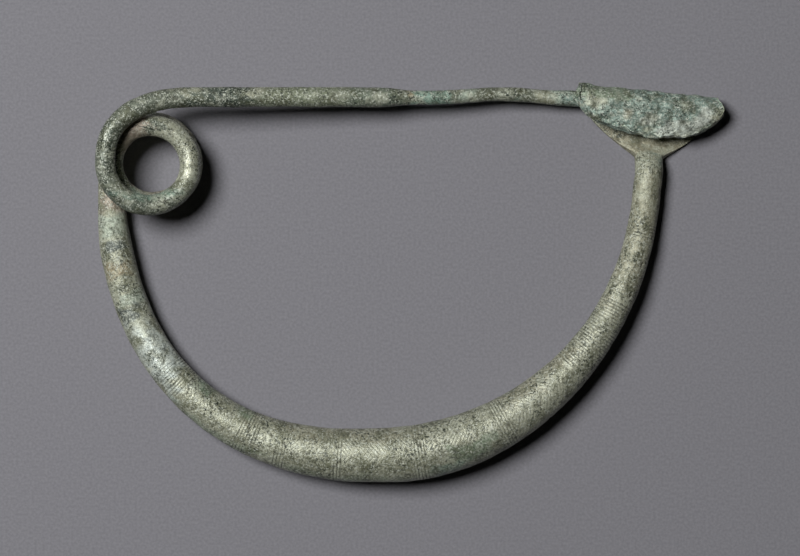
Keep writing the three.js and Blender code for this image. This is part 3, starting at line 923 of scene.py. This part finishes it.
def make_brooch(metal):
    points, faces, tag, starts = make_skin()
    along, bow, around, on_flap, width, rim = tag.T
    bow = bow - SPRING_OVERLAP
    bow_share = smooth(along, starts["bow"] - 1, starts["bow"] + 1)
    bow_share = bow_share * (1 - smooth(along, starts["sheet"], starts["sheet"] + 3))
    from_top = np.abs(around) / np.maximum(width, 0.1)
    polished_bow = BOW_SHINE * bow_share * smooth(bow, *BOW_SHINE_START) * (1 - smooth(bow, *BOW_SHINE_END))
    attributes = {
        "bow": bow,
        "around": around,
        "engraved": bow_share * (1 - smooth(from_top, *ENGRAVED_REACH)),
        "crusted": on_flap,
        "rim": rim,
        "shiny": np.maximum(polished_bow, (1 - bow_share) * worn(points, SHINY_PLACES)),
        "bare": worn(points, BARE_PLACES),
    }

    mesh = bpy.data.meshes.new("fibula skin")
    mesh.from_pydata((points * MM).tolist(), [], faces)
    for name, values in attributes.items():
        mesh.attributes.new(name, "FLOAT", "POINT").data.foreach_set("value", values.astype(np.float32))
    colour = np.ones((len(points), 4), np.float32)
    colour[:, :3] = tints(points, bow, around, bow_share)
    mesh.attributes.new("tint", "FLOAT_COLOR", "POINT").data.foreach_set("color", colour.ravel())
    mesh.shade_smooth()
    plain = bpy.data.objects.new("fibula plain", mesh)
    bpy.context.scene.collection.objects.link(plain)

    tree = surface_tree()
    modifier = plain.modifiers.new("engraving and corrosion", "NODES")
    modifier.node_group = tree
    inputs = [item for item in tree.interface.items_tree if item.in_out == "INPUT"]
    identifiers = {item.name: item.identifier for item in inputs}
    for name, value in SURFACE_SIZES.items():
        modifier[identifiers[name]] = value
    modifier[identifiers["Metal"]] = metal
    shown = bpy.data.meshes.new_from_object(plain.evaluated_get(bpy.context.evaluated_depsgraph_get()))
    bpy.data.objects.remove(plain)

    co = np.empty(len(shown.vertices) * 3, np.float32)
    shown.vertices.foreach_get("co", co)
    lowest, highest = (np.array(corner, np.float32) for corner in CAD_BOX)
    co = np.clip(co.reshape(-1, 3), lowest, highest)
    shown.vertices.foreach_set("co", co.ravel())
    shown.update()
    shown.shade_smooth()
    brooch = bpy.data.objects.new("fibula_brooch", shown)
    bpy.context.scene.collection.objects.link(brooch)
    return brooch


def aim(thing, target):
    """Turns a light's or camera's back axis away from the target."""
    way = thing.location - target
    thing.rotation_euler = way.to_track_quat("Z", "Y").to_euler()


def area_light(name, place, size, power, target):
    data = bpy.data.lights.new(name, "AREA")
    data.shape = "DISK"
    data.size = size * MM
    data.energy = power
    light = bpy.data.objects.new(name, data)
    light.location = [part * MM for part in place]
    bpy.context.scene.collection.objects.link(light)
    aim(light, Vector([part * MM for part in target]))


def grey_card():
    """Matt mid-grey card, whose fibres give it a faint, fine grain."""
    card = bpy.data.materials.new("matt grey card")
    card.use_nodes = True
    tree = card.node_tree
    shader = tree.nodes["Principled BSDF"]
    place = add_node(tree, "ShaderNodeTexCoord").outputs["Object"]
    scale = 1 / (CARD_GRAIN * MM)
    fibres = add_node(tree, "ShaderNodeTexNoise", {"Vector": place, "Scale": scale, "Detail": 2.0}).outputs[0]
    share = remap(tree, fibres, 0.3, 0.7)
    paper = mixed(tree, share, (*to_linear(CARD_GREY), 1.0), (*to_linear(CARD_PALER), 1.0))
    tree.links.new(paper, shader.inputs["Base Color"])
    shader.inputs["Roughness"].default_value = 0.95
    shader.inputs["Specular IOR Level"].default_value = 0.1
    return card


def lay_floor(card):
    corners = [(-FLOOR_HALF, -FLOOR_HALF, 0), (FLOOR_HALF, -FLOOR_HALF, 0),
               (FLOOR_HALF, FLOOR_HALF, 0), (-FLOOR_HALF, FLOOR_HALF, 0)]
    floor_mesh = bpy.data.meshes.new("floor")
    floor_mesh.from_pydata(corners, [], [(0, 1, 2, 3)])
    floor_mesh.materials.append(card)
    floor = bpy.data.objects.new("floor", floor_mesh)
    bpy.context.scene.collection.objects.link(floor)
    return floor


def light_room():
    """One large lamp from the upper left, as the shadows show, in a dim room."""
    area_light("studio lamp", place=(-340, 208, 712), size=345, power=6.25, target=(0, 0, 0))
    area_light("low fill from the left", place=(-330, 40, 60), size=120, power=0.01, target=(-40, 10, 5))
    world = bpy.data.worlds.new("dim room")
    world.use_nodes = True
    background = world.node_tree.nodes["Background"]
    background.inputs["Color"].default_value = (*to_linear(ROOM_GREY), 1)
    background.inputs["Strength"].default_value = 0.003
    bpy.context.scene.world = world
    bpy.context.scene.view_settings.view_transform = "Standard"


def place_camera():
    """Straight down from half a metre, with a long lens."""
    lens = bpy.data.cameras.new("camera")
    lens.lens = 123.2
    lens.sensor_width = 36
    lens.sensor_fit = "HORIZONTAL"
    lens.clip_start = 0.01
    camera = bpy.data.objects.new("camera", lens)
    camera.location = (-2.05 * MM, 0.68 * MM, 520 * MM)
    bpy.context.scene.collection.objects.link(camera)
    bpy.context.scene.camera = camera


def main():
    brooch = make_brooch(bronze())
    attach(brooch, "root")
    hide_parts("fibula")
    floor = lay_floor(grey_card())
    light_room()
    place_camera()


main()
